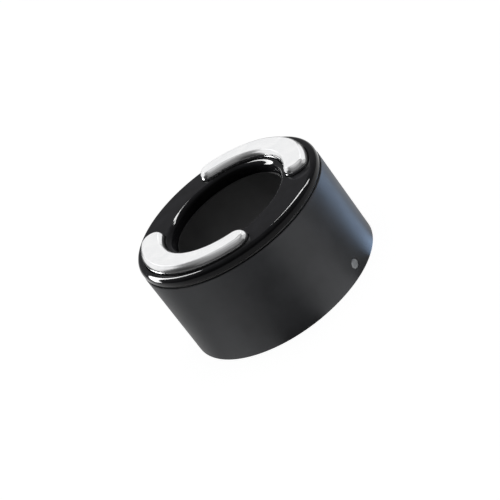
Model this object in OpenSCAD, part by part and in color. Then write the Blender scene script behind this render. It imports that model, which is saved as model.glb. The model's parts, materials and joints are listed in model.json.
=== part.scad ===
// Ring motion controller worn on a finger: a short sleeve round a finger hole, a gloss
// ring on top of it, and two curved click pads that stand out of the gloss ring.
// Millimetres. The origin is the middle of the bottom face, and +Z runs along the finger
// towards the pads.

/* [Sleeve] */
// Outside radius of the sleeve
shell_r = 18; // [17.8:0.1:18.6]
// Height of the sleeve
shell_h = 16.65; // [16.4:0.05:17.6]
// Wall of the sleeve
shell_wall = 1.2; // [1.0:0.05:1.3]
// Radius of the finger hole
finger_r = 10.4; // [10:0.1:10.6]
// Wall of the finger liner
liner_wall = 0.8; // [0.7:0.05:0.9]
// Diameter of the status light's window
window_d = 1.8; // [1.2:0.1:1.9]

/* [Top ring] */
// Height of the shadow gap between the sleeve and the top ring
gap_h = 0.3; // [0.2:0.05:0.4]
// Thickness of the top ring
bezel_h = 1.6; // [1.5:0.05:1.8]
// Rounding of the top ring's outer edge
bezel_round = 0.85; // [0.5:0.05:1]
// Rounding of the lip round the finger hole
lip_round = 0.95; // [0.6:0.05:1]

/* [Click pads] */
// Width of a pad
pad_w = 4.5; // [4.2:0.05:4.5]
// Height of a pad above the top ring
pad_rise = 1.35; // [1.1:0.05:1.6]
// Rounding of a pad's top edge
pad_round = 1.1; // [0.6:0.05:1.1]
// Angle between the centres of a pad's two round ends
pad_sweep = 102; // [90:1:104]
// Direction of the first pad's middle, turned from +X about +Z
pad_turn = 31; // [0:1:90]
// Click travel of a pad
press_travel = 0.35; // [0.2:0.05:0.4]
// Gap between a pad and the edge of its slot
pad_gap = 0.14; // [0.1:0.02:0.2]

/* [Hidden] */
$fn = 96;

// Radii of the ring-shaped space between the sleeve and the liner
shell_bore_r = shell_r - shell_wall;
liner_r = finger_r + liner_wall;
board_in_r = liner_r + 0.2;
board_out_r = shell_bore_r - 0.7;
mid_r = (board_in_r + board_out_r) / 2;
fit_gap = 0.1;
overlap = 0.2;

// Heights from the bottom face up
base_z = 0.15;
base_top_z = 1.4;
gasket_h = 0.3;
ledge_h = 0.6;
ledge_w = 0.55;
charge_board_z = 2.4;
board_t = 0.8;
chassis_z = charge_board_z + board_t;
floor_t = 0.7;
main_board_top_z = shell_h - 3.05;
main_board_z = main_board_top_z - board_t;
roof_z = main_board_z - floor_t;
foam_h = 0.4;
bezel_z = shell_h + gap_h;
top_z = bezel_z + bezel_h;
pad_top_z = top_z + pad_rise;

// Top ring and its slots
bezel_r = shell_r - 0.04;
bezel_foot_round = 0.4;
lip_r = finger_r + 0.5;
skirt_r = lip_r + 1;
skirt_z = bezel_z - 1.35;
seal_h = 0.4;
liner_top_z = shell_h - 0.13;
liner_step = 0.4;
liner_flange_r = liner_r + 0.55;
liner_flange_h = 0.6;
edge_chamfer = 0.12;

// Pads: both share this middle circle and hang from carriers under the top ring
pad_mid_r = (finger_r + shell_r) / 2 + 0.11;
pad_bottom_z = bezel_z - 0.3;
carrier_w = pad_w - 0.3;
carrier_h = 1.2;
carrier_z = pad_bottom_z - carrier_h;
hook_angle = 5;
hook_w = 2.2;

// Angles are measured from the first pad's middle; the gaps between pads are at a
// quarter turn either side of it
pad_b_turn = 180;
gap_turns = [90, 270];
boss_spread = 14;
boss_turns = [for (g = gap_turns, s = [-1, 1]) g + s * boss_spread];
standoff_turns = [0, 90, 180, 270];
post_turns = [90, 180, 270];
stud_spread = 40;
window_turn = -81;
pin_turns = [for (i = [-1.5:1:1.5]) 45 + i * 9];
magnet_turns = [135, 225, 315];

// Fasteners and small parts
boss_r = 1.5;
screw_r = 0.6;
screw_hole_r = 0.68;
head_r = 1.1;
head_h = 0.6;
base_screw_tip_z = chassis_z + 0.4;
pin_r = 0.45;
magnet_r = 1.5;
magnet_h = 0.8;
window_z = 2.15;
guide_r = 0.35;
led_size = [0.8, 1.2, 0.85];
switch_size = [3, 3.6, 1.1];
button_r = 0.8;
stud_r = 1.1;
motor_r = 2;
motor_len = 8;
haptic_turn = 150;
protection_turn = 220;
battery_half_angle = 67;
lead_r = 0.25;

// ---- helpers ----

// Flat ring about the Z axis
module ring(inner, outer, low, high) {
  rotate_extrude()
    translate([inner, low])
      square([outer - inner, high - low]);
}

// Stretch of a flat ring, centred on an angle
module ring_arc(inner, outer, low, high, middle, half_angle) {
  rotate([0, 0, middle - half_angle])
    rotate_extrude(angle = 2 * half_angle)
      translate([inner, low])
        square([outer - inner, high - low]);
}

// Puts its children at a radius, in the direction of an angle
module at_polar(angle, radius, height = 0) {
  rotate([0, 0, angle])
    translate([radius, 0, height])
      children();
}

// Upright cylinder between two heights
module post(radius, low, high) {
  translate([0, 0, low])
    cylinder(r = radius, h = high - low);
}

// Block centred in X and Y, standing on a height
module block(size, low) {
  translate([-size.x / 2, -size.y / 2, low])
    cube(size);
}

// Section of a curved bar with round top edges, centred on x = 0
module bar_section(width, low, high, round_r) {
  half = width / 2;
  translate([-half, low])
    square([width, high - low - round_r]);
  if (round_r > 0) {
    translate([-half + round_r, high - round_r])
      square([width - 2 * round_r, round_r]);
    for (side = [-1, 1])
      translate([side * (half - round_r), high - round_r])
        intersection() {
          circle(r = round_r);
          translate([side > 0 ? 0 : -round_r, 0])
            square(round_r);
        }
  }
}

// Curved bar about the Z axis with half-round ends, used for pads and their slots. It is
// made from two halves, each with its own end, which overlap by a degree at the middle.
module curved_bar(width, low, high, round_r) {
  half_sweep = pad_sweep / 2 + 1;
  for (side = [-1, 1])
    rotate([0, 0, side * pad_sweep / 2]) {
      rotate_extrude(angle = half_sweep, start = side > 0 ? -half_sweep : 0)
        translate([pad_mid_r, 0])
          bar_section(width, low, high, round_r);
      translate([pad_mid_r, 0, 0])
        rotate_extrude(angle = 180, start = side > 0 ? 0 : 180)
          intersection() {
            bar_section(width, low, high, round_r);
            square([width, high]);
          }
    }
}

// ---- sleeve, liner and base ----

module outer_shell() {
  ledge_z = base_top_z + gasket_h;
  color("#333437")
    difference() {
      union() {
        rotate_extrude()
          polygon([
            [shell_bore_r, 0],
            [shell_r - edge_chamfer, 0],
            [shell_r, edge_chamfer],
            [shell_r, shell_h - edge_chamfer],
            [shell_r - edge_chamfer, shell_h],
            [shell_bore_r, shell_h]
          ]);
        ring(shell_bore_r - ledge_w, shell_bore_r + overlap, ledge_z, ledge_z + ledge_h);
      }
      at_window(shell_bore_r - 0.1)
        cylinder(r = window_d / 2, h = shell_wall + 1);
      at_window(shell_bore_r - ledge_w - 1)
        cylinder(r = guide_r + 0.05, h = shell_wall + 1);
    }
}

// Points the Z axis of its children outward through the sleeve, at the status light
module at_window(radius) {
  rotate([0, 0, pad_turn + window_turn])
    translate([radius, 0, window_z])
      rotate([0, 90, 0])
        children();
}

// Disc flush with the sleeve, and a thin light guide behind it
module light_window() {
  color("#9aa0a4") {
    intersection() {
      at_window(shell_bore_r)
        cylinder(r = window_d / 2 - 0.03, h = shell_wall + 1);
      post(shell_r - 0.02, 0, shell_h);
    }
    at_window(shell_bore_r - ledge_w)
      cylinder(r = guide_r, h = ledge_w + 0.1);
  }
}

module base_ring() {
  color("#2b2c2e")
    difference() {
      ring(liner_r + fit_gap, shell_bore_r - fit_gap, base_z, base_top_z);
      rotate([0, 0, pad_turn]) {
        for (turn = standoff_turns)
          at_polar(turn, mid_r) {
            post(screw_hole_r, 0, base_top_z + 1);
            post(head_r + fit_gap, 0, base_z + 0.2 + head_h);
          }
        for (turn = pin_turns)
          at_polar(turn, mid_r)
            post(pin_r + 0.05, 0, base_top_z + 1);
      }
    }
}

module base_gasket() {
  color("#1d1d1f")
    ring(shell_bore_r - ledge_w, shell_bore_r - fit_gap, base_top_z, base_top_z + gasket_h);
}

module base_screws() {
  head_z = base_z + 0.2;
  color("#6e7074")
    rotate([0, 0, pad_turn])
      for (turn = standoff_turns)
        at_polar(turn, mid_r)
          difference() {
            union() {
              post(head_r, head_z, head_z + head_h);
              post(screw_r, head_z, base_screw_tip_z);
            }
            translate([0, 0, head_z - 0.01])
              cylinder(r = 0.45, h = 0.36, $fn = 6);
          }
}

module charge_pins() {
  color("#c9a24a")
    rotate([0, 0, pad_turn])
      for (turn = pin_turns)
        at_polar(turn, mid_r) {
          post(pin_r, base_z + 0.05, charge_board_z);
          post(pin_r + 0.25, base_top_z, base_top_z + 0.4);
        }
}

module dock_magnets() {
  color("#a7a9ac")
    rotate([0, 0, pad_turn])
      for (turn = magnet_turns)
        at_polar(turn, mid_r)
          post(magnet_r, base_top_z, base_top_z + magnet_h);
}

module finger_liner() {
  step_z = skirt_z - seal_h;
  color("#1f2022")
    rotate_extrude()
      polygon([
        [finger_r, base_z + edge_chamfer],
        [finger_r + edge_chamfer, base_z],
        [liner_r, base_z],
        [liner_r, step_z - liner_flange_h],
        [liner_flange_r, step_z - liner_flange_h],
        [liner_flange_r, step_z],
        [finger_r + liner_step, step_z],
        [finger_r + liner_step, liner_top_z],
        [finger_r + edge_chamfer, liner_top_z],
        [finger_r, liner_top_z - edge_chamfer]
      ]);
}

module liner_seal() {
  color("#3a3a3c")
    ring(lip_r, liner_flange_r, skirt_z - seal_h, skirt_z);
}

// ---- boards, power and feedback ----

module charge_board() {
  color("#1e5a3a")
    difference() {
      ring(board_in_r, board_out_r, charge_board_z, chassis_z);
      rotate([0, 0, pad_turn])
        for (turn = standoff_turns)
          at_polar(turn, mid_r)
            post(boss_r + 0.15, 0, chassis_z + 1);
    }
}

module status_led() {
  color("#e8e2c8")
    rotate([0, 0, pad_turn + window_turn])
      translate([board_out_r - led_size.x / 2, 0, 0])
        block(led_size, charge_board_z - led_size.z);
}

module flex_cable() {
  color("#c77f2a")
    ring_arc(board_in_r, board_in_r + 0.15, chassis_z, main_board_z, pad_turn + 115, 9);
}

module chassis() {
  chassis_in_r = board_in_r + 0.5;
  floor_top_z = chassis_z + floor_t;
  color("#4a4c50")
    difference() {
      union() {
        ring(chassis_in_r, board_out_r, chassis_z, floor_top_z);
        ring(chassis_in_r, board_out_r, roof_z, main_board_z);
        for (turn = post_turns)
          ring_arc(mid_r - 0.8, board_out_r - 0.2, floor_top_z - overlap, roof_z + overlap,
                   pad_turn + turn, 5);
        rotate([0, 0, pad_turn])
          for (turn = standoff_turns)
            at_polar(turn, mid_r)
              post(boss_r, base_top_z, chassis_z + overlap);
      }
      rotate([0, 0, pad_turn]) {
        for (turn = standoff_turns)
          at_polar(turn, mid_r)
            post(screw_r + 0.03, 0, base_screw_tip_z + 0.1);
        for (turn = boss_turns)
          at_polar(turn, mid_r)
            post(screw_hole_r, roof_z - 1, main_board_z + 1);
      }
    }
}

module battery_cell() {
  color("#7c8085")
    ring_arc(board_in_r + 0.6, board_out_r - 0.1, chassis_z + floor_t, roof_z - foam_h,
             pad_turn, battery_half_angle);
}

module battery_foam() {
  color("#2f2f33")
    ring_arc(board_in_r + 1, board_out_r - 0.5, roof_z - foam_h, roof_z,
             pad_turn, battery_half_angle - 4);
}

// Two wires from the end of the battery round to the protection board
module battery_leads() {
  first_turn = protection_turn;
  last_turn = 360 - battery_half_angle;
  color("#b3202a")
    for (level = [0, 0.8])
      rotate([0, 0, pad_turn + first_turn])
        rotate_extrude(angle = last_turn - first_turn)
          translate([mid_r - 1.3, roof_z - 2.6 + level])
            circle(r = lead_r);
}

module protection_board() {
  color("#1e5a3a")
    rotate([0, 0, pad_turn + protection_turn])
      translate([mid_r - 0.2, -0.4, chassis_z + floor_t])
        translate([-1.6, -0.4, 0])
          cube([3.2, 0.8, 7.2]);
}

module haptic_actuator() {
  center_z = chassis_z + floor_t + 0.4 + motor_r;
  color("#b8babd")
    at_polar(pad_turn + haptic_turn, mid_r + 0.1, center_z)
      rotate([90, 0, 0])
        cylinder(r = motor_r, h = motor_len, center = true);
}

module haptic_pad() {
  color("#d8d2c0")
    at_polar(pad_turn + haptic_turn, mid_r + 0.1)
      block([2.4, motor_len - 1, 0.4], chassis_z + floor_t);
}

module main_board() {
  color("#1e5a3a")
    difference() {
      ring(board_in_r, board_out_r, main_board_z, main_board_top_z);
      rotate([0, 0, pad_turn])
        for (turn = boss_turns)
          at_polar(turn, mid_r)
            post(screw_hole_r, 0, main_board_top_z + 1);
    }
}

// Chip lying on the main board, with a chamfer at its first corner
module chip(size, turn) {
  rotate([0, 0, pad_turn + turn])
    translate([mid_r, 0, main_board_top_z])
      difference() {
        block(size, 0);
        translate([size.x / 2, size.y / 2, -1])
          rotate([0, 0, 45])
            block([0.6, 0.6, 4], 0);
      }
}

module processor_chip() {
  color("#17181a")
    chip([3.4, 3.4, 0.75], 20);
}

module radio_module() {
  color("#8d9094")
    chip([3.2, 4.2, 0.9], 202);
}

module motion_sensor() {
  color("#17181a")
    chip([2.5, 3, 0.8], 160);
}

module antenna_chip() {
  color("#dcd6c4")
    at_polar(pad_turn + 90, mid_r + 1, 0)
      block([1.2, 3.2, 0.7], main_board_top_z);
}

module board_capacitors() {
  color("#b49a78")
    for (turn = [-24, -20, -16, 232, 236, 240])
      for (offset = [-0.9, 0.9])
        at_polar(pad_turn + turn, mid_r + offset)
          block([1, 0.5, 0.5], main_board_top_z);
}

// ---- click mechanism, made twice ----

module click_switch(turn) {
  color("#c9cbce")
    rotate([0, 0, pad_turn + turn])
      translate([mid_r, 0, 0])
        difference() {
          block(switch_size, main_board_top_z);
          post(button_r + 0.1, main_board_top_z + 0.3, main_board_top_z + 3);
        }
}

// Plunger of a click switch, which moves with the pad
module switch_button(turn) {
  color("#1a1a1c")
    rotate([0, 0, pad_turn + turn])
      translate([mid_r, 0, 0])
        post(button_r, main_board_top_z + 0.3 + press_travel + 0.05, carrier_z);
}

// Two silicone studs that push a pad back up
module return_studs(turn) {
  color("#d9dadc")
    for (side = [-1, 1])
      at_polar(pad_turn + turn + side * stud_spread, mid_r)
        post(stud_r, main_board_top_z, carrier_z);
}

// Carrier under a pad: a curved bar with a hook past each end that stops under the ring
module pad_carrier(turn) {
  hook_start = pad_sweep / 2 + 4;
  color("#e4e4e2")
    rotate([0, 0, pad_turn + turn]) {
      curved_bar(carrier_w, carrier_z, pad_bottom_z, 0);
      for (side = [-1, 1]) {
        middle = side * (hook_start + (hook_angle + 4) / 2);
        ring_arc(pad_mid_r - hook_w / 2, pad_mid_r + hook_w / 2, carrier_z, pad_bottom_z,
                 middle, (hook_angle + 4) / 2);
      }
    }
}

// Silver cap of a click pad
module pad_cap(turn) {
  color("#e9eaec")
    rotate([0, 0, pad_turn + turn])
      curved_bar(pad_w, pad_bottom_z, pad_top_z, pad_round);
}

// ---- top ring ----

module bezel_seal() {
  color("#121214")
    ring(shell_bore_r - 0.1, bezel_r - 0.28, shell_h, bezel_z);
}

// Half section of the top ring, with its round lip, outer edge and foot
module bezel_section() {
  difference() {
    translate([lip_r, bezel_z])
      square([bezel_r - lip_r, bezel_h]);
    translate([lip_r, top_z - lip_round])
      difference() {
        translate([-1, 0])
          square([1 + lip_round, lip_round + 1]);
        translate([lip_round, 0])
          circle(r = lip_round);
      }
    translate([bezel_r - bezel_round, top_z - bezel_round])
      difference() {
        square(bezel_round + 1);
        circle(r = bezel_round);
      }
    translate([bezel_r - bezel_foot_round, bezel_z + bezel_foot_round])
      difference() {
        translate([0, -bezel_foot_round - 1])
          square([bezel_foot_round + 1, bezel_foot_round + 1]);
        circle(r = bezel_foot_round);
      }
  }
}

module top_bezel() {
  color("#0c0c0e")
    difference() {
      union() {
        rotate_extrude()
          bezel_section();
        ring(lip_r, skirt_r, skirt_z, bezel_z + overlap);
        rotate([0, 0, pad_turn])
          for (turn = boss_turns)
            at_polar(turn, mid_r)
              post(boss_r, main_board_top_z, bezel_z + overlap);
      }
      rotate([0, 0, pad_turn]) {
        for (turn = [0, pad_b_turn])
          rotate([0, 0, turn])
            curved_bar(pad_w + 2 * pad_gap, skirt_z - 1, top_z + 1, 0);
        for (turn = boss_turns)
          at_polar(turn, mid_r)
            post(screw_r + 0.03, 0, bezel_z - 0.4);
      }
    }
}

module bezel_screws() {
  color("#6e7074")
    rotate([0, 0, pad_turn])
      for (turn = boss_turns)
        at_polar(turn, mid_r)
          difference() {
            union() {
              post(head_r, roof_z - head_h, roof_z);
              post(screw_r, roof_z - head_h, bezel_z - 0.6);
            }
            translate([0, 0, roof_z - head_h - 0.01])
              cylinder(r = 0.45, h = 0.36, $fn = 6);
          }
}

outer_shell();
light_window();
base_ring();
base_gasket();
base_screws();
charge_pins();
dock_magnets();
charge_board();
status_led();
flex_cable();
chassis();
battery_cell();
battery_foam();
battery_leads();
protection_board();
haptic_actuator();
haptic_pad();
main_board();
processor_chip();
radio_module();
motion_sensor();
antenna_chip();
board_capacitors();
click_switch(0);  // switch_a
click_switch(pad_b_turn);  // switch_b
return_studs(0);  // return_studs_a
return_studs(pad_b_turn);  // return_studs_b
finger_liner();
liner_seal();
bezel_seal();
top_bezel();
bezel_screws();
pad_cap(0);  // pad_cap_a
pad_cap(pad_b_turn);  // pad_cap_b
pad_carrier(0);  // pad_carrier_a
pad_carrier(pad_b_turn);  // pad_carrier_b
switch_button(0);  // switch_button_a
switch_button(pad_b_turn);  // switch_button_b
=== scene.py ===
"""Looks of a ring-shaped motion controller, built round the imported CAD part.

Lengths are in metres, in the CAD frame: the finger hole runs along Z and the part stands on
z = 0. Every outside piece is rebuilt here from sizes that are measured on its CAD node.
"""

import json
import math

import bmesh
import bpy
import numpy as np
from mathutils import Matrix, Vector


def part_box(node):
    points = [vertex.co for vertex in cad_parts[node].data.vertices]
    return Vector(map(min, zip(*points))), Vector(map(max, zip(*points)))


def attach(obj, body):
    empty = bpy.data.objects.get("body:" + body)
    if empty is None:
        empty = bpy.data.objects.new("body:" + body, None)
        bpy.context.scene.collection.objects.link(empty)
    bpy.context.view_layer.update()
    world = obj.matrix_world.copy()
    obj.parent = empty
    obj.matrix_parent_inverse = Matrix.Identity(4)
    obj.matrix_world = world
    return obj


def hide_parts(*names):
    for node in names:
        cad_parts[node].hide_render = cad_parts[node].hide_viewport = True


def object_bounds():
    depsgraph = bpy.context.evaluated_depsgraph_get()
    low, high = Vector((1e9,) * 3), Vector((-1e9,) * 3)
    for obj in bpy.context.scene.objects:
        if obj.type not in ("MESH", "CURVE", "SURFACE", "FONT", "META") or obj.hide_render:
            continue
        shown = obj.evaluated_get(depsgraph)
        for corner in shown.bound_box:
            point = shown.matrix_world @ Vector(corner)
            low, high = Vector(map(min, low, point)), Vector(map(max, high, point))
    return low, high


MM = 0.001
UM = 1e-6
TINY = 1e-6  # metres within which two measures count as equal
WELD = 1e-9  # metres within which vertices are merged
SEGMENTS = 288  # facets round a large ring
PLUG_SEGMENTS = 64  # facets round a small hole or screw
PIN_SEGMENTS = 48  # facets round a charging pin
CORNER_STEPS = 10  # facets of a rounded corner
SHARP = math.radians(32)  # angle between faces above which their edge is a crease
TABLE_HALF = 3.0  # metres from the part to an edge of the table
LIGHT_AWAY = 0.5  # metres from the part to each light
SOFT = {"interpolation_type": "SMOOTHSTEP"}  # for a ramp that starts and ends gently
SLEEVE = ["sleeve"]
GLOSS_RING = ["gloss_top_ring"]
PADS = ["pad_cap_a_shell", "pad_cap_b_shell"]

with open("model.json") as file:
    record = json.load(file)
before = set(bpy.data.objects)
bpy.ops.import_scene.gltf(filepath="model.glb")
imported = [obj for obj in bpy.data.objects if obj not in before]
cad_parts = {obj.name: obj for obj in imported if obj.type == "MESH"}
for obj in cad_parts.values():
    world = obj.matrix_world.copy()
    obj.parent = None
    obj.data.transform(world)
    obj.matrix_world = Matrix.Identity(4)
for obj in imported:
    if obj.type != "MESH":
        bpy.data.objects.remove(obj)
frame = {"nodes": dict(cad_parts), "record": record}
cad_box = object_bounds()


# ---- measuring CAD nodes ----


def vertices(node):
    """Vertices of a CAD node, as an array with a row each."""
    return np.array([v.co for v in frame["nodes"][node].data.vertices])


def polar(node):
    """Radius, angle and height of every vertex of a CAD node."""
    co = vertices(node)
    return np.hypot(co[:, 0], co[:, 1]), np.arctan2(co[:, 1], co[:, 0]), co[:, 2]


def heights_at(node, radius):
    """Lowest and highest vertex of a node on the cylinder of that radius."""
    r, _, z = polar(node)
    on_it = z[np.abs(r - radius) < TINY]
    return on_it.min(), on_it.max()


def radii_at(node, height):
    """Smallest and largest radius of a node's vertices at that height."""
    r, _, z = polar(node)
    on_it = r[np.abs(z - height) < TINY]
    return on_it.min(), on_it.max()


def middles(node, count):
    """Middle (x, y) of each of a node's separate solids, which stand round the Z axis."""
    co = vertices(node)
    angle = np.arctan2(co[:, 1], co[:, 0]) % math.tau
    order = np.argsort(angle)
    steps = np.diff(angle[order], append=angle[order[0]] + math.tau)
    cuts = np.sort(np.argsort(steps)[-count:]) + 1
    ranked = np.roll(co[order], -cuts[-1], axis=0)
    groups = np.split(ranked, np.cumsum(np.diff(cuts)))
    return [(g.min(0)[:2] + g.max(0)[:2]) / 2 for g in groups]


def near_middles(node, count):
    """Middles of a node's upright solids, and every vertex's distance from the nearest
    middle and its height."""
    places, co = middles(node, count), vertices(node)
    away = np.min([np.hypot(co[:, 0] - x, co[:, 1] - y) for x, y in places], axis=0)
    return places, away, co[:, 2]


def window_place():
    """Radius of the status light's window, and the matrix that puts +Z outward through
    the sleeve there, with its origin on the outside of the window."""
    low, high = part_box("light_window")
    r, angle, _ = polar("light_window")
    turn = math.atan2(np.sin(angle).mean(), np.cos(angle).mean())
    matrix = (
        Matrix.Rotation(turn, 4, "Z")
        @ Matrix.Translation((r.max(), 0, (low.z + high.z) / 2))
        @ Matrix.Rotation(math.pi / 2, 4, "Y")
    )
    return {"radius": (high.z - low.z) / 2, "matrix": matrix}


def pad_measures(node):
    """Sizes of a pad: a curved bar round the Z axis with half-round ends."""
    r, angle, z = polar(node)
    middle = math.atan2(np.sin(angle).mean(), np.cos(angle).mean())
    half_width = (r.max() - r.min()) / 2
    mid_r = (r.max() + r.min()) / 2
    reach = np.abs((angle - middle + math.pi) % math.tau - math.pi).max()
    return {
        "middle": middle,
        "half_width": half_width,
        "mid_r": mid_r,
        "half_sweep": reach - math.asin(half_width / mid_r),
        "low": z.min(),
        "high": z.max(),
        "round": z.max() - heights_at(node, r.max())[1],
    }


def screw_measures():
    """Sizes of the four base screws: where they are, and their head and shank."""
    places, away, z = near_middles("base_screws", 4)
    head_side = np.abs(away - away.max()) < 0.01 * MM
    return {
        "middles": places,
        "radius": away.max(),
        "low": z.min(),
        "high": z[head_side].max(),
        "shank": away[z > z.max() - TINY].max(),
        "tip": z.max(),
    }


def pin_measures():
    """Sizes of the four charging pins: where they are, and their radius and ends."""
    places, away, z = near_middles("charge_pins", 4)
    collar_side = away > away.max() - TINY
    return {
        "middles": places,
        "radius": away[z < z.min() + TINY].max(),
        "collar": away.max(),
        "low": z.min(),
        "high": z.max(),
        "collar_low": z[collar_side].min(),
        "collar_high": z[collar_side].max(),
    }


# ---- mesh helpers ----


def rounded(corners):
    """Closed outline of (x, y) points from (x, y, rounding) corners."""
    points = []
    for i, (x, y, radius) in enumerate(corners):
        here = Vector((x, y))
        if not radius:
            points.append(here)
            continue
        back = (Vector(corners[i - 1][:2]) - here).normalized()
        ahead = (Vector(corners[(i + 1) % len(corners)][:2]) - here).normalized()
        half = back.angle(ahead) / 2
        centre = here + (back + ahead).normalized() * radius / math.sin(half)
        first = (here + back * radius / math.tan(half) - centre).normalized()
        last = (here + ahead * radius / math.tan(half) - centre).normalized()
        points += [
            centre + first.slerp(last, k / CORNER_STEPS) * radius
            for k in range(CORNER_STEPS + 1)
        ]
    return points


def smooth(mesh):
    """Smooth shading, with creases where faces meet at a sharp angle."""
    mesh.shade_smooth()
    mesh.set_sharp_from_angle(angle=SHARP)


def new_piece(name, data):
    """New object in the scene, round a mesh, a lamp or a camera."""
    piece = bpy.data.objects.new(name, data)
    bpy.context.scene.collection.objects.link(piece)
    return piece


def from_bmesh(name, bm):
    """Piece with a bmesh's shape, its faces turned outward."""
    bmesh.ops.remove_doubles(bm, verts=bm.verts, dist=WELD)
    bmesh.ops.recalc_face_normals(bm, faces=bm.faces)
    mesh = bpy.data.meshes.new(name)
    bm.to_mesh(mesh)
    bm.free()
    smooth(mesh)
    return new_piece(name, mesh)


def stack(name, loops, closed=False):
    """Piece with quads between loops of equally many points. The ends are capped, or
    joined to each other if it is closed."""
    bm = bmesh.new()
    rows = [[bm.verts.new(p) for p in loop] for loop in loops]
    count = len(rows[0])
    pairs = list(zip(rows, rows[1:]))
    if closed:
        pairs.append((rows[-1], rows[0]))
    else:
        bm.faces.new(rows[0])
        bm.faces.new(rows[-1])
    for low, high in pairs:
        for k in range(count):
            n = (k + 1) % count
            bm.faces.new((low[k], low[n], high[n], high[k]))
    return from_bmesh(name, bm)


def lathe(name, corners):
    """Ring turned about the Z axis from its (radius, height, rounding) corners."""
    outline = rounded(corners)
    turns = [math.tau * k / SEGMENTS for k in range(SEGMENTS)]
    loops = [
        [(p.x * math.cos(a), p.x * math.sin(a), p.y) for a in turns] for p in outline
    ]
    return stack(name, loops, closed=True)


def plug(name, profile, segments=PLUG_SEGMENTS):
    """Solid of revolution about the Z axis from (radius, height) points, lowest first."""
    turns = [math.tau * k / segments for k in range(segments)]
    return stack(
        name,
        [[(r * math.cos(a), r * math.sin(a), z) for a in turns] for r, z in profile],
    )


def place(piece, matrix):
    """Moves a piece's mesh by the matrix."""
    piece.data.transform(matrix)
    return piece


def plugs(name, profile, segments, places):
    """A solid of revolution at each (x, y) place."""
    return [
        place(plug(name, profile, segments), Matrix.Translation((x, y, 0)))
        for x, y in places
    ]


def join(name, pieces):
    """One piece out of many."""
    bm = bmesh.new()
    for p in pieces:
        bm.from_mesh(p.data)
        bpy.data.objects.remove(p)
    return from_bmesh(name, bm)


def cut(piece, *cutters):
    """Takes the cutters out of the piece, for good."""
    for cutter in cutters:
        boolean = piece.modifiers.new("cut", "BOOLEAN")
        boolean.operation = "DIFFERENCE"
        boolean.solver = "EXACT"
        boolean.object = cutter
    graph = bpy.context.evaluated_depsgraph_get()
    mesh = bpy.data.meshes.new_from_object(piece.evaluated_get(graph))
    piece.modifiers.clear()
    piece.data = mesh
    for cutter in cutters:
        bpy.data.objects.remove(cutter)
    smooth(mesh)
    return piece


def finish_piece(piece, body, slot, *nodes):
    """Gives a piece its shading, its slot's look and its body, and hides the CAD nodes that
    it stands for."""
    weighted = piece.modifiers.new("weighted_normals", "WEIGHTED_NORMAL")
    weighted.keep_sharp = True
    piece.data.materials.clear()
    piece.data.materials.append(LOOKS[slot])
    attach(piece, body)
    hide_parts(*nodes)


# ---- materials ----


class Tree:
    """Shader nodes of a material or a world."""

    def __init__(self, owner, coords):
        owner.use_nodes = True
        self.nodes = owner.node_tree.nodes
        self.links = owner.node_tree.links
        self.coords = self.nodes.new("ShaderNodeTexCoord").outputs[coords]

    def node(self, kind, inputs=(), **settings):
        """New node, its inputs set to constants or linked to sockets."""
        made = self.nodes.new(kind)
        for key, value in settings.items():
            setattr(made, key, value)
        for socket, value in dict(inputs).items():
            if isinstance(value, bpy.types.NodeSocket):
                self.links.new(value, made.inputs[socket])
            else:
                made.inputs[socket].default_value = value
        return made

    def ramp(self, value, low, high, start, end, **settings):
        """Goes from low to high while the value goes from start to end."""
        inputs = {
            "Value": value,
            "From Min": start,
            "From Max": end,
            "To Min": low,
            "To Max": high,
        }
        return self.node("ShaderNodeMapRange", inputs, **settings).outputs["Result"]

    def vector_math(self, operation, *values, result="Vector", **named):
        """Result of an operation on vectors, which are sockets or constants."""
        inputs = {**dict(enumerate(values)), **named}
        made = self.node("ShaderNodeVectorMath", inputs, operation=operation)
        return made.outputs[result]


class Look(Tree):
    """A Principled material whose patterns are laid out in object metres."""

    def __init__(self, name, **constants):
        self.material = bpy.data.materials.new(name)
        super().__init__(self.material, "Object")
        self.shader = self.nodes["Principled BSDF"]
        self.normal = None
        for socket, value in constants.items():
            self.shader.inputs[socket.replace("_", " ")].default_value = value

    def stretched(self, x, y, z):
        """Coordinates scaled along each axis, for drawn-out patterns."""
        inputs = {"Vector": self.coords, "Scale": (x, y, z)}
        return self.node("ShaderNodeMapping", inputs).outputs["Vector"]

    def noise(self, size, detail=2.0, rough=0.5, coords=None):
        """Noise with features of that size, in metres."""
        return self.node(
            "ShaderNodeTexNoise",
            {
                "Vector": coords or self.coords,
                "Scale": 1 / size,
                "Detail": detail,
                "Roughness": rough,
            },
        ).outputs["Fac"]

    def cells(self, size, **settings):
        """Cells of that size, in metres."""
        inputs = {"Vector": self.coords, "Scale": 1 / size}
        return self.node("ShaderNodeTexVoronoi", inputs, **settings).outputs["Distance"]

    def between(self, low, high, pattern):
        """A number between low and high, by a pattern whose values crowd round a half."""
        return self.ramp(pattern, low, high, start=0.3, end=0.7)

    def color(self, first, second, pattern):
        """Base colour between two colours, by a pattern."""
        factor, color_a, color_b, color_result = 0, 6, 7, 2
        mixed = self.node(
            "ShaderNodeMix",
            {
                factor: self.between(0, 1, pattern),
                color_a: (*first, 1),
                color_b: (*second, 1),
            },
            data_type="RGBA",
        ).outputs[color_result]
        self.links.new(mixed, self.shader.inputs["Base Color"])
        return self

    def roughness(self, low, high, pattern):
        """Roughness between low and high, by a pattern."""
        self.links.new(self.between(low, high, pattern), self.shader.inputs["Roughness"])
        return self

    def bump(self, height, depth, strength=1.0):
        """Adds relief of that depth, in metres, on top of any relief before it."""
        inputs = {"Height": height, "Distance": depth, "Strength": strength}
        if self.normal:
            inputs["Normal"] = self.normal
        self.normal = self.node("ShaderNodeBump", inputs).outputs["Normal"]
        self.links.new(self.normal, self.shader.inputs["Normal"])
        return self


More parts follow.
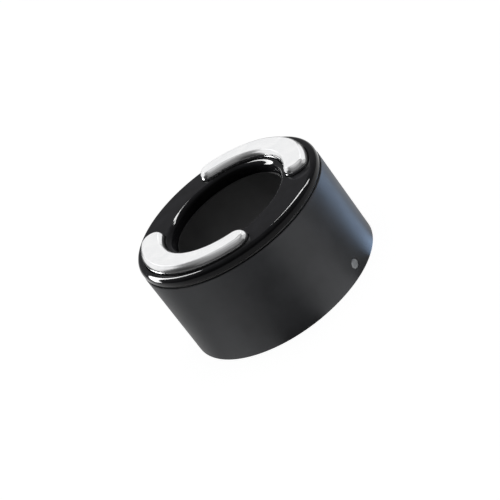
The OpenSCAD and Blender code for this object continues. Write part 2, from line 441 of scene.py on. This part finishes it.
def soft_touch(
    name, dark, light, grain_size=0.16 * MM, depth=1.2 * UM, rough=(0.37, 0.43), gloss=0.07
):
    """Rubbery matte paint: fine grain, faint clouds in colour and sheen."""
    look = Look(name, Specular_IOR_Level=gloss)
    grain = look.noise(grain_size, detail=3, rough=0.6)
    clouds = look.noise(4 * MM, detail=3, rough=0.55)
    look.color(dark, light, clouds).roughness(*rough, clouds)
    look.bump(grain, depth)
    return look.material


def gloss_black(name):
    """Polished black: a clear surface with faint hairlines and finger haze."""
    look = Look(name, Specular_IOR_Level=0.1)
    haze = look.noise(3 * MM, detail=4, rough=0.6)
    hairline = look.noise(0.5 * MM, detail=3, rough=0.7, coords=look.stretched(1, 0.06, 1))
    look.color((0.0045, 0.0045, 0.005), (0.007, 0.007, 0.008), haze)
    look.roughness(0.035, 0.075, haze)
    look.bump(hairline, 0.02 * UM)
    return look.material


def satin_silver(name):
    """Bead-blasted and polished metal: fine grain, slight cloudiness."""
    look = Look(name, Metallic=1.0)
    grain = look.noise(0.09 * MM, detail=3, rough=0.6)
    clouds = look.noise(2.5 * MM, detail=3, rough=0.5)
    look.color((0.86, 0.865, 0.875), (0.93, 0.932, 0.935), clouds)
    look.roughness(0.18, 0.24, grain)
    look.bump(grain, 0.15 * UM)
    return look.material


def moulded(name, dark, light):
    """Moulded plastic with a spark-eroded texture."""
    look = Look(name, Specular_IOR_Level=0.4)
    cell, depth = 0.25 * MM, 6 * UM
    pits = look.cells(cell)
    grain = look.noise(cell / 3, detail=2)
    look.color(dark, light, look.noise(3 * MM, detail=3))
    look.roughness(0.5, 0.68, grain)
    look.bump(pits, depth, 0.6).bump(grain, depth / 4)
    return look.material


def rubber(name, dark, light):
    """Dull rubber or foam with a soft sheen."""
    look = Look(name, Specular_IOR_Level=0.3, Sheen_Weight=0.1)
    grain = look.noise(0.12 * MM, detail=4, rough=0.7)
    look.color(dark, light, look.noise(1.5 * MM, detail=3)).roughness(0.62, 0.8, grain)
    look.bump(grain, 3 * UM)
    return look.material


def turned_metal(name, dark, light, rough=(0.22, 0.38)):
    """Machined metal with tool marks."""
    look = Look(name, Metallic=1.0)
    marks = look.noise(0.08 * MM, detail=3, rough=0.6, coords=look.stretched(1, 1, 0.2))
    look.color(dark, light, look.noise(0.5 * MM, detail=2)).roughness(*rough, marks)
    look.bump(marks, UM)
    return look.material


def frosted_lens(name):
    """Frosted window over a light that is off: milky, with a fine diffusing grain."""
    look = Look(name, Specular_IOR_Level=0.5, Coat_Weight=0.3, Coat_Roughness=0.25)
    grain = look.noise(0.07 * MM, detail=3, rough=0.7)
    look.color((0.05, 0.053, 0.058), (0.075, 0.08, 0.085), look.noise(0.5 * MM, detail=2))
    look.roughness(0.35, 0.5, grain)
    look.bump(grain, 1.5 * UM)
    return look.material


def circuit_board(name):
    """Solder mask with traces and pads showing through."""
    look = Look(name, Coat_Weight=0.4, Coat_Roughness=0.2)
    traces = look.cells(0.8 * MM, distance="MANHATTAN")
    look.color((0.006, 0.05, 0.022), (0.015, 0.13, 0.06), traces)
    look.roughness(0.3, 0.45, look.noise(0.3 * MM))
    look.bump(traces, 20 * UM, 0.5)
    return look.material


def plain_finish(name, dark, light, metallic=0.0):
    """Finish for small parts inside: colour clouds, uneven sheen and fine relief."""
    look = Look(name, Metallic=metallic)
    grain_size = 0.2 * MM
    grain = look.noise(grain_size, detail=3, rough=0.6)
    look.color(dark, light, look.noise(grain_size * 5, detail=2)).roughness(0.4, 0.6, grain)
    look.bump(grain, grain_size * 0.02)
    return look.material


LOOKS = {
    "shell": soft_touch("shell_soft_touch", (0.011, 0.0115, 0.0125), (0.015, 0.0155, 0.017)),
    "bezel": gloss_black("bezel_gloss"),
    "pad_silver": satin_silver("pad_satin_silver"),
    "liner": soft_touch(
        "liner_matte",
        (0.036, 0.036, 0.037),
        (0.046, 0.046, 0.047),
        grain_size=0.2 * MM,
        depth=2 * UM,
        rough=(0.45, 0.55),
        gloss=0.25,
    ),
    "base": moulded("base_moulded", (0.014, 0.014, 0.015), (0.022, 0.022, 0.023)),
    "lens": frosted_lens("window_frosted"),
    "seal": rubber("seal_rubber", (0.006, 0.006, 0.0065), (0.012, 0.012, 0.012)),
    "silicone": rubber("stud_silicone", (0.5, 0.5, 0.5), (0.62, 0.62, 0.61)),
    "screw_steel": turned_metal("screw_steel", (0.28, 0.28, 0.29), (0.4, 0.4, 0.41)),
    "contact_gold": turned_metal(
        "contact_gold", (0.75, 0.5, 0.17), (0.87, 0.62, 0.25), rough=(0.12, 0.25)
    ),
    "magnet": plain_finish("magnet_plating", (0.5, 0.5, 0.5), (0.6, 0.6, 0.6), 1.0),
    "circuit_board": circuit_board("board_solder_mask"),
    "flex": plain_finish("flex_polyimide", (0.45, 0.16, 0.03), (0.58, 0.24, 0.05)),
    "chassis": moulded("chassis_moulded", (0.06, 0.062, 0.066), (0.08, 0.083, 0.09)),
    "battery": plain_finish("battery_foil", (0.4, 0.42, 0.45), (0.5, 0.52, 0.55), 1.0),
    "foam": rubber("foam_black", (0.02, 0.02, 0.022), (0.035, 0.035, 0.04)),
    "wire": plain_finish("wire_insulation", (0.35, 0.01, 0.02), (0.5, 0.02, 0.03)),
    "actuator_steel": turned_metal("actuator_can", (0.5, 0.5, 0.5), (0.6, 0.6, 0.6)),
    "adhesive": plain_finish("adhesive_pad", (0.6, 0.55, 0.42), (0.7, 0.65, 0.52)),
    "chip": plain_finish("chip_epoxy", (0.008, 0.008, 0.009), (0.014, 0.014, 0.015)),
    "shield_can": turned_metal("shield_can", (0.45, 0.45, 0.46), (0.55, 0.55, 0.56)),
    "ceramic": plain_finish("ceramic_body", (0.45, 0.35, 0.22), (0.58, 0.47, 0.32)),
    "led": plain_finish("led_phosphor", (0.75, 0.68, 0.4), (0.82, 0.78, 0.55)),
    "carrier": moulded("carrier_moulded", (0.55, 0.55, 0.53), (0.66, 0.66, 0.64)),
}


# ---- pieces ----


def sleeve():
    """Body sleeve with softened edges and the hole for the status light."""
    low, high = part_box("outer_shell")
    outer = min(cad_box[1].x, cad_box[1].y, -cad_box[0].x, -cad_box[0].y)
    bore = radii_at("outer_shell", high.z)[0]
    edge = 0.14 * MM
    piece = lathe(
        "sleeve",
        [
            (outer, low.z, edge),
            (outer, high.z, edge),
            (bore, high.z, 0),
            (bore, low.z, 0),
        ],
    )
    window = window_place()
    hole_r = window["radius"] + 0.03 * MM
    bevel = 0.12 * MM
    inside, bevel_low, bevel_high = -2 * MM, -0.09 * MM, 0.06 * MM
    hole = plug(
        "window_hole",
        [(hole_r, inside), (hole_r, bevel_low), (hole_r + bevel, bevel_high)],
    )
    cut(piece, place(hole, window["matrix"]))
    finish_piece(piece, "housing", "shell", "outer_shell")


def status_window():
    """Frosted disc with a crowned face just inside the sleeve, and its light guide."""
    window = window_place()
    radius = window["radius"]
    rim, crown, guide_end = -0.14 * MM, 0.104 * MM, -1.1 * MM
    face = [
        (radius * math.cos(t), rim + crown * math.sin(t))
        for t in np.linspace(0, math.pi / 2, 12)[:-1]
    ]
    disc = plug("status_window", [(radius, guide_end), *face])
    place(disc, window["matrix"])
    finish_piece(disc, "housing", "lens", "light_window")


def finger_liner():
    """Lining of the finger hole, with its top lip and the flange under the top ring."""
    low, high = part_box("finger_liner")
    r, _, _ = polar("finger_liner")
    hole, flange = r.min(), r.max()
    wall = radii_at("finger_liner", low.z)[1]
    flange_low, flange_high = heights_at("finger_liner", flange)
    rim = radii_at("finger_liner", high.z)[1]
    edge = 0.15 * MM
    piece = lathe(
        "finger_liner_sleeve",
        [
            (hole, low.z, edge * 2),
            (wall, low.z, edge),
            (wall, flange_low, 0),
            (flange, flange_low, 0),
            (flange, flange_high, 0),
            (rim, flange_high, 0),
            (rim, high.z, edge),
            (hole, high.z, edge),
        ],
    )
    finish_piece(piece, "housing", "liner", "finger_liner")


def bar_loop(pad, half_width, height):
    """Outline of a curved bar at a height, along the pad's middle line."""
    arc_steps, end_steps = 96, 28
    points = []
    for side in (1, -1):
        end = pad["middle"] + side * pad["half_sweep"]
        for t in np.linspace(-pad["half_sweep"], pad["half_sweep"], arc_steps + 1)[:-1]:
            radius = pad["mid_r"] + side * half_width
            angle = pad["middle"] + side * t
            points.append((radius * math.cos(angle), radius * math.sin(angle), height))
        centre = Vector((math.cos(end), math.sin(end))) * pad["mid_r"]
        for t in np.linspace(0, math.pi, end_steps + 1)[:-1]:
            angle = end + t if side > 0 else end + math.pi + t
            points.append(
                (
                    centre.x + half_width * math.cos(angle),
                    centre.y + half_width * math.sin(angle),
                    height,
                )
            )
    return points


def click_pad(node, body):
    """Silver pad: straight sides, a full round shoulder and a flat top."""
    pad = pad_measures(node)
    radius = pad["round"]
    side, top = pad["half_width"], pad["high"]
    flat_edge = 0.08 * MM
    side_edge = 0.1 * MM
    shoulder = [
        (side - radius + radius * math.cos(t), top - radius + radius * math.sin(t))
        for t in np.linspace(0, math.pi / 2, 20)
    ]
    sections = [
        (side, pad["low"]),
        (side, top - radius - side_edge),
        *shoulder,
        (side - radius - flat_edge, top),
    ]
    piece = stack(node + "_shell", [bar_loop(pad, w, z) for w, z in sections])
    finish_piece(piece, body, "pad_silver", node)


def top_ring():
    """Gloss ring with its round lip and outer edge, and a slot for each pad."""
    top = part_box("top_bezel")[1].z
    r, _, z = polar("top_bezel")
    inset = 0.05 * MM
    outer = min(r.max(), cad_box[1].x - inset)
    lip = r.min()
    skirt_low = heights_at("top_bezel", lip)[0]
    skirt_r = radii_at("top_bezel", skirt_low)[1]
    rim_width = 0.5 * MM
    foot = z[r > outer - rim_width].min()
    side_low, side_high = heights_at("top_bezel", r.max())
    flat = np.unique(np.round(r[np.abs(z - top) < TINY], 6))
    lip_end, slot_side = flat[0], flat[-2]
    piece = lathe(
        "gloss_top_ring",
        [
            (outer, foot, side_low - foot),
            (outer, top, top - side_high),
            (lip, top, lip_end - lip),
            (lip, skirt_low, 0.1 * MM),
            (skirt_r, skirt_low, 0),
            (skirt_r, foot, 0),
        ],
    )
    slots = []
    edge, over, under = 0.05 * MM, 0.2 * MM, 0.5 * MM
    for node in ("pad_cap_a", "pad_cap_b"):
        pad = pad_measures(node)
        half = slot_side - pad["mid_r"]
        sections = [
            (half, foot - under),
            (half, top - edge),
            (half + edge, top),
            (half + edge + over, top + over),
        ]
        slots.append(stack("slot", [bar_loop(pad, w, h) for w, h in sections]))
    cut(piece, *slots)
    finish_piece(piece, "housing", "bezel", "top_bezel")


def gap_ring():
    """Dark ring set back in the gap between the sleeve and the top ring."""
    low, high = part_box("bezel_seal")
    r, _, _ = polar("bezel_seal")
    edge = 0.04 * MM
    piece = lathe(
        "gap_seal",
        [
            (r.max(), low.z, edge),
            (r.max(), high.z, edge),
            (r.min(), high.z, 0),
            (r.min(), low.z, 0),
        ],
    )
    finish_piece(piece, "housing", "seal", "bezel_seal")


def base_cover():
    """Bottom cover ring with countersunk screw seats and charging-pin holes."""
    low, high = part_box("base_ring")
    r, _, _ = polar("base_ring")
    edge = 0.12 * MM
    piece = lathe(
        "base_cover",
        [
            (r.max(), low.z, edge),
            (r.max(), high.z, 0),
            (r.min(), high.z, 0),
            (r.min(), low.z, edge),
        ],
    )
    under, over = low.z - 0.05 * MM, high.z + MM
    head = screw_measures()
    seat_r = head["radius"] + 0.1 * MM
    shank_r = head["shank"] + 0.05 * MM
    seat_bevel, seat_bevel_high = 0.1 * MM, 0.08 * MM
    seat = [
        (seat_r + seat_bevel, under),
        (seat_r, low.z + seat_bevel_high),
        (seat_r, head["high"]),
        (shank_r, head["high"]),
        (shank_r, over),
    ]
    pins = pin_measures()
    hole_r = pins["radius"] + 0.05 * MM
    hole_bevel, hole_bevel_high = 0.08 * MM, 0.06 * MM
    pin_hole = [
        (hole_r + hole_bevel, under),
        (hole_r, low.z + hole_bevel_high),
        (hole_r, over),
    ]
    seats = plugs("seat", seat, PLUG_SEGMENTS, head["middles"])
    pin_holes = plugs("pin_hole", pin_hole, PIN_SEGMENTS, pins["middles"])
    cut(piece, *seats, *pin_holes)
    finish_piece(piece, "housing", "base", "base_ring")


def base_screws():
    """Screws with domed heads and hexagon sockets."""
    size = screw_measures()
    dome = 0.14 * MM
    crown = [
        (size["radius"] * math.cos(t), size["low"] + dome * (1 - math.sin(t)))
        for t in np.linspace(0, math.pi / 2, 8)[:-1]
    ]
    profile = [
        *crown[::-1],
        (size["radius"], size["high"]),
        (size["shank"], size["high"]),
        (size["shank"], size["tip"]),
    ]
    socket_r, socket_mouth = 0.45 * MM, 0.52 * MM
    mouth_low, mouth_high, socket_end = -0.01 * MM, 0.06 * MM, 0.4 * MM
    socket = [
        (socket_mouth, size["low"] + mouth_low),
        (socket_r, size["low"] + mouth_high),
        (socket_r, size["low"] + socket_end),
    ]
    made = []
    for x, y in size["middles"]:
        screw = cut(plug("screw", profile), plug("socket", socket, segments=6))
        made.append(place(screw, Matrix.Translation((x, y, 0))))
    piece = join("base_cover_screws", made)
    finish_piece(piece, "housing", "screw_steel", "base_screws")


def charge_pins():
    """Spring pins with rounded tips and a collar behind the cover."""
    size = pin_measures()
    radius = size["radius"]
    tip_height = radius * 0.6
    tip = [
        (radius * math.cos(t), size["low"] + tip_height * (1 - math.sin(t)))
        for t in np.linspace(0, math.pi / 2, 9)[:-1]
    ]
    profile = [
        *tip[::-1],
        (radius, size["collar_low"]),
        (size["collar"], size["collar_low"]),
        (size["collar"], size["collar_high"]),
        (radius, size["collar_high"]),
        (radius, size["high"]),
    ]
    pins = plugs("pin", profile, PIN_SEGMENTS, size["middles"])
    piece = join("charging_pins", pins)
    finish_piece(piece, "housing", "contact_gold", "charge_pins")


def cad_looks():
    """Gives every CAD node the look of its slot. The ones inside are shown as they are."""
    for part in frame["record"]["subparts"]:
        materials = frame["nodes"][part["node"]].data.materials
        materials.clear()
        materials.append(LOOKS[part["material_slot"]])


# ---- stage ----


def toward(azimuth, elevation):
    """Unit vector from the part in that direction, in degrees."""
    a, e = math.radians(azimuth), math.radians(elevation)
    return Vector((math.cos(a) * math.cos(e), math.sin(a) * math.cos(e), math.sin(e)))


def aim(source, pieces, state="INCLUDE"):
    """Lets the glow of a lamp or a mesh fall only on the pieces, or on all but them."""
    group = bpy.data.collections.new(source.name + "_receivers")
    for piece in pieces:
        group.objects.link(bpy.data.objects[piece])
    for member in group.collection_objects:
        member.light_linking.link_state = state
    source.light_linking.receiver_collection = group


def table_sheet(name, look):
    """Flat square at table height, with the part standing on its middle."""
    bm = bmesh.new()
    bmesh.ops.create_grid(bm, x_segments=8, y_segments=8, size=TABLE_HALF)
    mesh = bpy.data.meshes.new(name)
    bm.to_mesh(mesh)
    bm.free()
    mesh.materials.append(look.material)
    return new_piece(name, mesh)


def floor():
    """White light table. Its glow doesn't reach the pads, which have panels of their own."""
    look = Look("floor_paper", Roughness=0.9, Specular_IOR_Level=0.1)
    look.color((0.4, 0.4, 0.4), (0.42, 0.42, 0.42), look.noise(20 * MM, detail=3))
    look.shader.inputs["Emission Color"].default_value = (0.93, 0.93, 0.93, 1)
    look.shader.inputs["Emission Strength"].default_value = 1
    table = table_sheet("floor", look)
    aim(table, PADS, "EXCLUDE")


def mirrored_band(look, below, facing, spread, strength):
    """Adds a glowing wedge of floor that the camera sees mirrored where the sleeve faces
    that azimuth, in degrees. The wedge spreads that far to each side."""
    radius = cad_box[1].x
    outward = toward(facing, 0)
    mirrored = toward(2 * facing + 90, 0)
    # the focus of the sleeve's curve there, behind its surface
    apex = outward * radius + mirrored * outward.y * radius / 2
    away = look.vector_math("SUBTRACT", look.coords, apex)
    away = look.vector_math("NORMALIZE", away)
    along = look.vector_math("DOT_PRODUCT", away, mirrored, result="Value")
    share = look.ramp(along, 0, 1, start=math.cos(math.radians(spread)), end=1, **SOFT)
    glow = look.vector_math("SCALE", strength, Scale=share)
    return look.vector_math("ADD", below, glow)


def floor_beams():
    """Clear sheet on the table with three glowing beams, which the sleeve mirrors as soft
    upright bands. The camera doesn't see the sheet itself."""
    look = Look("floor_beams")
    glow = (0.0, 0.0, 0.0)
    glow = mirrored_band(look, glow, facing=-122, spread=44, strength=(2.0, 2.0, 2.0))
    glow = mirrored_band(look, glow, facing=-71, spread=36, strength=(3.8, 3.8, 3.8))
    glow = mirrored_band(look, glow, facing=-31, spread=18, strength=(2.6, 3.9, 6.0))
    beams = look.node("ShaderNodeEmission", {"Color": glow})
    clear = look.node("ShaderNodeBsdfTransparent")
    both = look.node(
        "ShaderNodeAddShader", {0: beams.outputs["Emission"], 1: clear.outputs["BSDF"]}
    )
    surface = look.nodes["Material Output"].inputs["Surface"]
    look.links.new(both.outputs["Shader"], surface)
    look.nodes.remove(look.shader)
    sheet = table_sheet("floor_beams", look)
    sheet.location.z = 0.02 * MM
    sheet.visible_camera = False
    aim(sheet, GLOSS_RING + PADS + ["floor"], "EXCLUDE")


def strip_light(name, start, end, width, radiance, pieces):
    """Long softbox that faces the part, between two (azimuth, elevation) directions. It
    lights only the named pieces."""
    first, last = (toward(*direction) * LIGHT_AWAY for direction in (start, end))
    lamp = bpy.data.lights.new(name, "AREA")
    lamp.shape = "RECTANGLE"
    lamp.size, lamp.size_y = (last - first).length, width
    lamp.energy = radiance * math.pi * lamp.size * lamp.size_y
    holder = new_piece(name, lamp)
    middle = (first + last) / 2
    back = middle.normalized()
    along = (last - first - back * (last - first).dot(back)).normalized()
    turn = Matrix((along, back.cross(along), back)).transposed().to_4x4()
    holder.matrix_world = Matrix.Translation(middle) @ turn
    aim(holder, pieces)


def panel_row(name, start, elevation, width, radiances):
    """Softboxes side by side round the part, for the pads to mirror."""
    sweep = 45  # degrees
    for k, radiance in enumerate(radiances):
        first = (start + sweep * k, elevation)
        last = (start + sweep * (k + 1), elevation)
        strip_light(f"{name}_{k}", first, last, width, radiance, PADS)


def lights():
    """Highlights for the gloss ring, panels for the pads, and fill for the sleeve's back."""
    strip_light("left_strip", (103, 45), (150, 2), width=0.11, radiance=36, pieces=GLOSS_RING)
    narrow = {"width": 0.05, "radiance": 50, "pieces": GLOSS_RING}
    strip_light("right_strip_high", (45, 54), (82, 45), **narrow)
    strip_light("right_strip_low", (18, 37), (45, 54), **narrow)
    bright = (0.35, 0.75, 0.75, 0.75)
    panel_row("pad_panel", start=-25, elevation=20, width=0.4, radiances=bright)
    strip_light("pad_panel_high", (20, 58), (120, 58), width=0.25, radiance=0.45, pieces=PADS)
    dim = (0.13, 0.13, 0.13)
    panel_row("pad_front", start=-160, elevation=28, width=0.28, radiances=dim)
    half_sweep, elevation = 25, 35  # degrees
    for azimuth in (30, 90, 150):
        first = (azimuth - half_sweep, elevation)
        last = (azimuth + half_sweep, elevation)
        fill = f"back_fill_{azimuth}"
        strip_light(fill, first, last, width=0.3, radiance=6, pieces=SLEEVE)


def surroundings():
    """Dim room: darkest at the horizon in front of the part, and grey behind and above
    it. How far behind goes by the cosine of the angle from the middle of the grey wall."""
    world = bpy.data.worlds.new("studio")
    bpy.context.scene.world = world
    sky = Tree(world, "Generated")
    split = sky.node("ShaderNodeSeparateXYZ", {"Vector": sky.coords})
    facing = sky.vector_math("DOT_PRODUCT", sky.coords, toward(70, 0), result="Value")
    behind = sky.ramp(facing, 0, 1, start=-0.35, end=0.5, **SOFT)
    horizon, overhead, wall, steepness = 0.04, 0.5, 0.22, 4
    rise = sky.node(
        "ShaderNodeMath", {0: split.outputs["Z"], 1: steepness}, operation="POWER"
    )
    above = sky.node(
        "ShaderNodeMath",
        {0: rise.outputs["Value"], 1: overhead, 2: horizon},
        operation="MULTIPLY_ADD",
    )
    light = sky.node(
        "ShaderNodeMix", {"Factor": behind, "A": above.outputs["Value"], "B": wall}
    )
    background = sky.nodes["Background"].inputs
    sky.links.new(light.outputs["Result"], background["Strength"])
    background["Color"].default_value = (1, 1, 1, 1)


def camera():
    """Looks down at 26 degrees along +Y, rolled so that the finger hole leans left."""
    unit = cad_box[1].x
    elevation, roll = math.radians(25.98), math.radians(-37.01)
    distance, aside, below = 18.969 * unit, 0.3185 * unit, 0.3295 * unit
    level_right = Vector((1, 0, 0))
    level_up = Vector((0, math.sin(elevation), math.cos(elevation)))
    back = level_right.cross(level_up)
    right = level_right * math.cos(roll) + level_up * math.sin(roll)
    up = level_up * math.cos(roll) - level_right * math.sin(roll)
    stand = back * distance - right * aside + up * below
    data = bpy.data.cameras.new("camera")
    data.lens, data.sensor_width = 142.85, 36
    data.clip_start, data.clip_end = 0.01, 10
    holder = new_piece("camera", data)
    turn = Matrix((right, up, back)).transposed().to_4x4()
    holder.matrix_world = Matrix.Translation(stand) @ turn
    bpy.context.scene.camera = holder


camera()
cad_looks()
sleeve()
status_window()
finger_liner()
top_ring()
gap_ring()
click_pad("pad_cap_a", "click_pad_a")
click_pad("pad_cap_b", "click_pad_b")
base_cover()
base_screws()
charge_pins()
floor()
floor_beams()
lights()
surroundings()

bpy.context.scene.view_settings.view_transform = "Standard"
